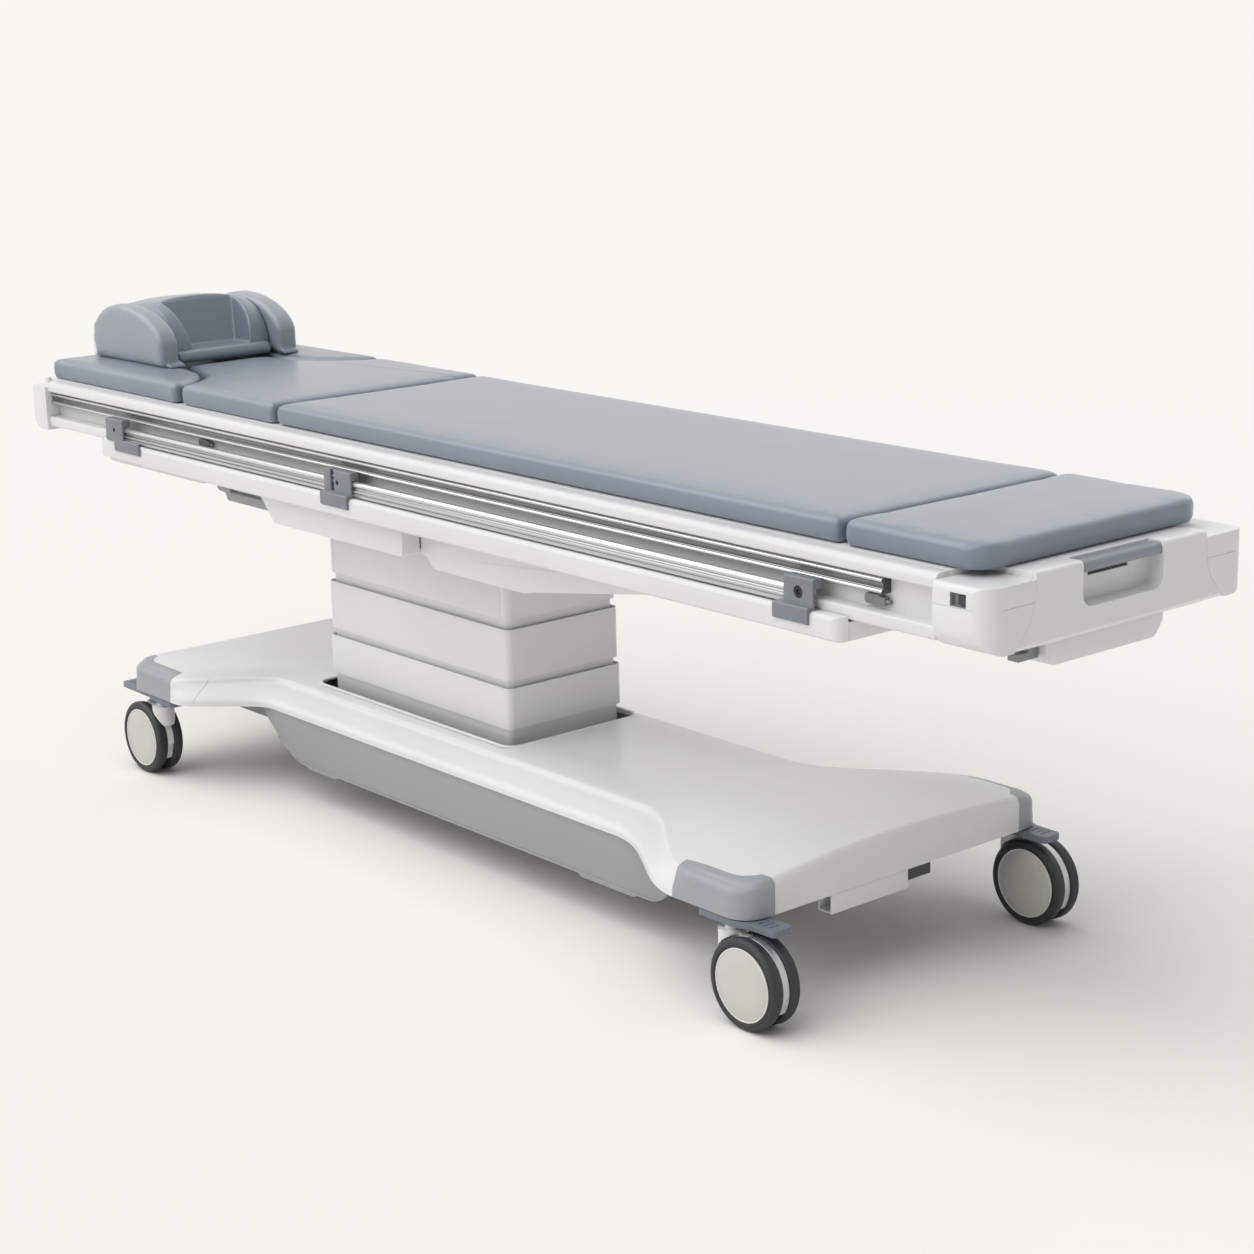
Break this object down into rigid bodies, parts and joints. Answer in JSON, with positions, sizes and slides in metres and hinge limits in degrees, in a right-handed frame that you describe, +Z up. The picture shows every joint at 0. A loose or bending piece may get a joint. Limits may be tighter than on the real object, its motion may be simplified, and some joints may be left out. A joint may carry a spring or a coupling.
{
  "type": "magnetic resonance imaging table",
  "caption": "Mobile patient table with a wheeled dog-bone base, a telescoping lift column, a sliding padded tabletop with side rails, and a cradle headrest between bolsters.",
  "frame": {"origin": "centre of the overall footprint, at floor level under the wheels", "axes": "+X from the headrest end to the foot end, +Y to the left of a patient lying on the back, +Z up. In the node names, left is the +Y side."},
  "size_m": [2.79, 0.715, 0.942],
  "materials": {
    "white_moulding": "satin white moulding",
    "painted_white": "white powder coat",
    "board_white": "white composite board",
    "beam_white": "white powder coat on aluminium",
    "skirt_grey": "matte mid grey",
    "bumper_grey": "soft pale grey-blue",
    "frame_steel": "grey paint",
    "dark_plastic": "matte dark grey",
    "pedal_grey": "satin dark grey-blue",
    "bracket_grey": "satin dark grey-blue",
    "caster_body": "satin light grey",
    "caster_cover": "satin silver",
    "tyre": "matte dark grey",
    "lift_steel": "machined",
    "rail_aluminium": "polished, brushed lengthways",
    "pad_blue": "grey-blue leatherette, satin",
    "bolster_blue": "pale grey-blue leatherette, satin",
    "cradle_blue": "grey-blue skinned foam, satin"
  },
  "bodies": {
    "base": {"chassis": "frame_steel", "base_cover": "white_moulding", "base_head_cover": "white_moulding", "skirt_left": "skirt_grey", "skirt_right": "skirt_grey", "bumpers_head": "bumper_grey", "bumpers_foot": "bumper_grey", "foot_underpan": "white_moulding", "power_unit": "dark_plastic", "lower_sleeve": "painted_white", "lift_tube_inner": "lift_steel", "lift_motor": "dark_plastic"},
    "lift_middle": {"middle_sleeve": "painted_white", "lift_tube_middle": "lift_steel"},
    "support": {"upper_sleeve": "painted_white", "lift_tube_outer": "lift_steel", "carriage": "frame_steel", "carriage_cover_head": "white_moulding", "carriage_cover_foot": "white_moulding", "cable_tray": "skirt_grey", "slide_beam": "beam_white", "slide_rails": "rail_aluminium", "brackets_left": "bracket_grey", "brackets_right": "bracket_grey", "lower_rails": "rail_aluminium"},
    "tabletop": {"tabletop_board": "board_white", "side_profile_left": "beam_white", "side_profile_right": "beam_white", "upper_rails": "rail_aluminium", "head_end_cap": "white_moulding", "foot_cap_left": "white_moulding", "foot_cap_right": "white_moulding", "foot_panel": "white_moulding", "dock_box": "white_moulding", "stop_blocks": "bracket_grey", "slide_bearings": "dark_plastic", "head_pad_left": "pad_blue", "head_pad_right": "pad_blue", "shoulder_pad": "pad_blue", "main_pad": "pad_blue", "foot_pad": "pad_blue", "headrest_cradle": "cradle_blue", "headrest_bolsters": "bolster_blue"},
    "release_handle": {"release_handle": "pedal_grey"},
    "release_button_left": {"release_button_left": "dark_plastic"},
    "release_button_right": {"release_button_right": "dark_plastic"},
    "brake_head": {"brake_bar_head": "pedal_grey"},
    "brake_foot": {"brake_bar_foot": "pedal_grey"},
    "caster_head_left": {"caster_fork_head_left": "caster_body", "caster_hood_head_left": "caster_cover"},
    "wheels_head_left": {"caster_wheels_head_left": "tyre"},
    "caster_head_right": {"caster_fork_head_right": "caster_body", "caster_hood_head_right": "caster_cover"},
    "wheels_head_right": {"caster_wheels_head_right": "tyre"},
    "caster_foot_left": {"caster_fork_foot_left": "caster_body", "caster_hood_foot_left": "caster_cover"},
    "wheels_foot_left": {"caster_wheels_foot_left": "tyre"},
    "caster_foot_right": {"caster_fork_foot_right": "caster_body", "caster_hood_foot_right": "caster_cover"},
    "wheels_foot_right": {"caster_wheels_foot_right": "tyre"}
  },
  "joints": [
    {"name": "lift_lower_stage", "type": "slide", "parent": "base", "child": "lift_middle", "axis": [0, 0, 1], "range_m": [-0.075, 0.075]},
    {"name": "lift_upper_stage", "type": "slide", "parent": "lift_middle", "child": "support", "axis": [0, 0, 1], "range_m": [-0.075, 0.075]},
    {"name": "tabletop_slide", "type": "slide", "parent": "support", "child": "tabletop", "axis": [1, 0, 0], "range_m": [-0.07, 0.18]},
    {"name": "release_handle_pull", "type": "hinge", "parent": "tabletop", "child": "release_handle", "pos_m": [1.375, 0, 0.762], "axis": [0, 1, 0], "range_deg": [-12, 0], "stiffness_Nm_per_rad": 2, "springref_deg": 2.86},
    {"name": "release_button_left_press", "type": "slide", "parent": "tabletop", "child": "release_button_left", "axis": [0, -1, 0], "range_m": [0, 0.003], "stiffness_N_per_m": 400, "springref_m": -0.001},
    {"name": "release_button_right_press", "type": "slide", "parent": "tabletop", "child": "release_button_right", "axis": [0, 1, 0], "range_m": [0, 0.003], "stiffness_N_per_m": 400, "springref_m": -0.001},
    {"name": "brake_foot_pedal", "type": "hinge", "parent": "base", "child": "brake_foot", "pos_m": [0.855, 0, 0.165], "axis": [0, 1, 0], "range_deg": [0, 4]},
    {"name": "brake_head_pedal", "type": "hinge", "parent": "base", "child": "brake_head", "pos_m": [-0.779, 0, 0.165], "axis": [0, -1, 0], "range_deg": [0, 4]},
    {"name": "caster_head_left_swivel", "type": "hinge", "parent": "base", "child": "caster_head_left", "pos_m": [-0.834, 0.328, 0.15], "axis": [0, 0, 1], "continuous": true},
    {"name": "wheels_head_left_spin", "type": "hinge", "parent": "caster_head_left", "child": "wheels_head_left", "pos_m": [-0.884, 0.328, 0.075], "axis": [0, 1, 0], "continuous": true},
    {"name": "caster_head_right_swivel", "type": "hinge", "parent": "base", "child": "caster_head_right", "pos_m": [-0.834, -0.328, 0.15], "axis": [0, 0, 1], "continuous": true},
    {"name": "wheels_head_right_spin", "type": "hinge", "parent": "caster_head_right", "child": "wheels_head_right", "pos_m": [-0.884, -0.328, 0.075], "axis": [0, 1, 0], "continuous": true},
    {"name": "caster_foot_left_swivel", "type": "hinge", "parent": "base", "child": "caster_foot_left", "pos_m": [0.91, 0.328, 0.15], "axis": [0, 0, 1], "continuous": true},
    {"name": "wheels_foot_left_spin", "type": "hinge", "parent": "caster_foot_left", "child": "wheels_foot_left", "pos_m": [0.96, 0.328, 0.075], "axis": [0, 1, 0], "continuous": true},
    {"name": "caster_foot_right_swivel", "type": "hinge", "parent": "base", "child": "caster_foot_right", "pos_m": [0.91, -0.328, 0.15], "axis": [0, 0, 1], "continuous": true},
    {"name": "wheels_foot_right_spin", "type": "hinge", "parent": "caster_foot_right", "child": "wheels_foot_right", "pos_m": [0.96, -0.328, 0.075], "axis": [0, 1, 0], "continuous": true}
  ],
  "couplings": [
    {"joint": "lift_upper_stage", "follows": "lift_lower_stage", "ratio": 1},
    {"joint": "brake_head_pedal", "follows": "brake_foot_pedal", "ratio": 1}
  ]
}
